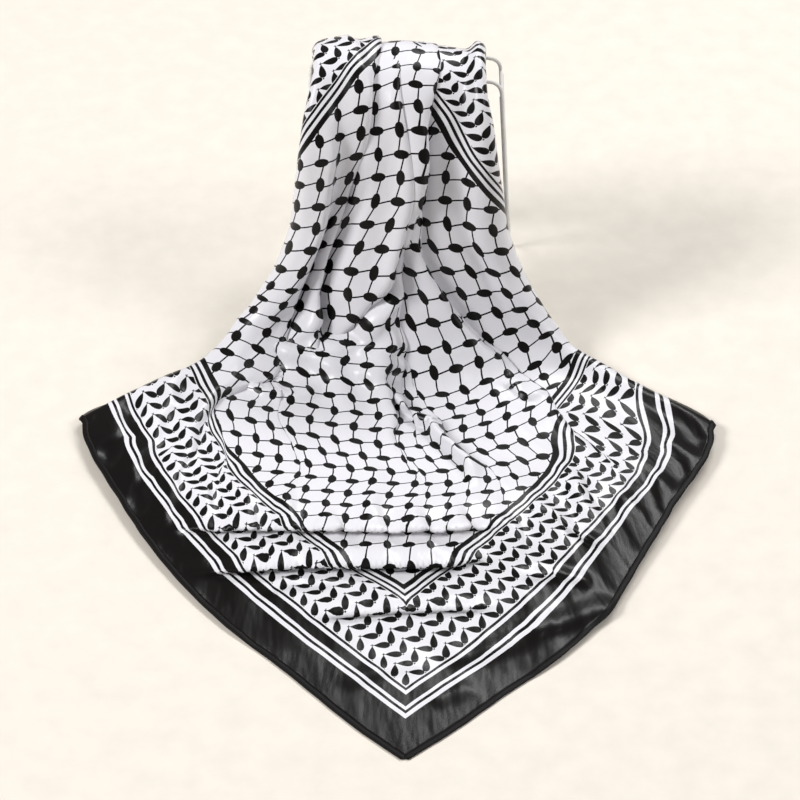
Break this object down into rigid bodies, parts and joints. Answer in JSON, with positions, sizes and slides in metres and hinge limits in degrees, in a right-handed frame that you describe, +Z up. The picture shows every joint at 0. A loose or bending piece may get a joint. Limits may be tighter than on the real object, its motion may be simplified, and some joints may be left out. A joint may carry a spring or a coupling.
{
  "type": "square hijab scarf draped on a wire basket",
  "caption": "Square satin head scarf with a fishnet and leaf print and a dark border, laid corner first over an upturned white wire basket and spread on the floor",
  "frame": {"origin": "on the floor, under the middle of the whole drape", "axes": "+Z up; +Y runs from the scarf's front corner towards the basket and the back corner; +X is to the right when the scarf is seen from its front corner"},
  "size_m": [0.5899, 0.827, 0.2785],
  "materials": {
    "satin": "white printed satin with near-black net, leaves, stripes and a wide border, soft gloss",
    "hem": "narrow rolled hem in the black of the border, stitched with fine thread",
    "wire": "round steel wire with a smooth white coating"
  },
  "bodies": {
    "root": {"panel": "satin", "hem_front_left": "hem", "hem_front_right": "hem", "hem_back_left": "hem", "hem_back_right": "hem", "leg_front_left": "wire", "leg_back_left": "wire", "top_rail_left": "wire", "foot_rail_left": "wire", "lattice_outer_left": "wire", "lattice_inner_left": "wire", "leg_front_right": "wire", "leg_back_right": "wire", "top_rail_right": "wire", "foot_rail_right": "wire", "lattice_outer_right": "wire", "lattice_inner_right": "wire", "top_rail_front": "wire", "foot_rail_front": "wire", "upright_front_1": "wire", "upright_front_2": "wire", "upright_front_3": "wire", "top_rail_back": "wire", "foot_rail_back": "wire", "upright_back_1": "wire", "upright_back_2": "wire", "upright_back_3": "wire"}
  },
  "joints": []
}
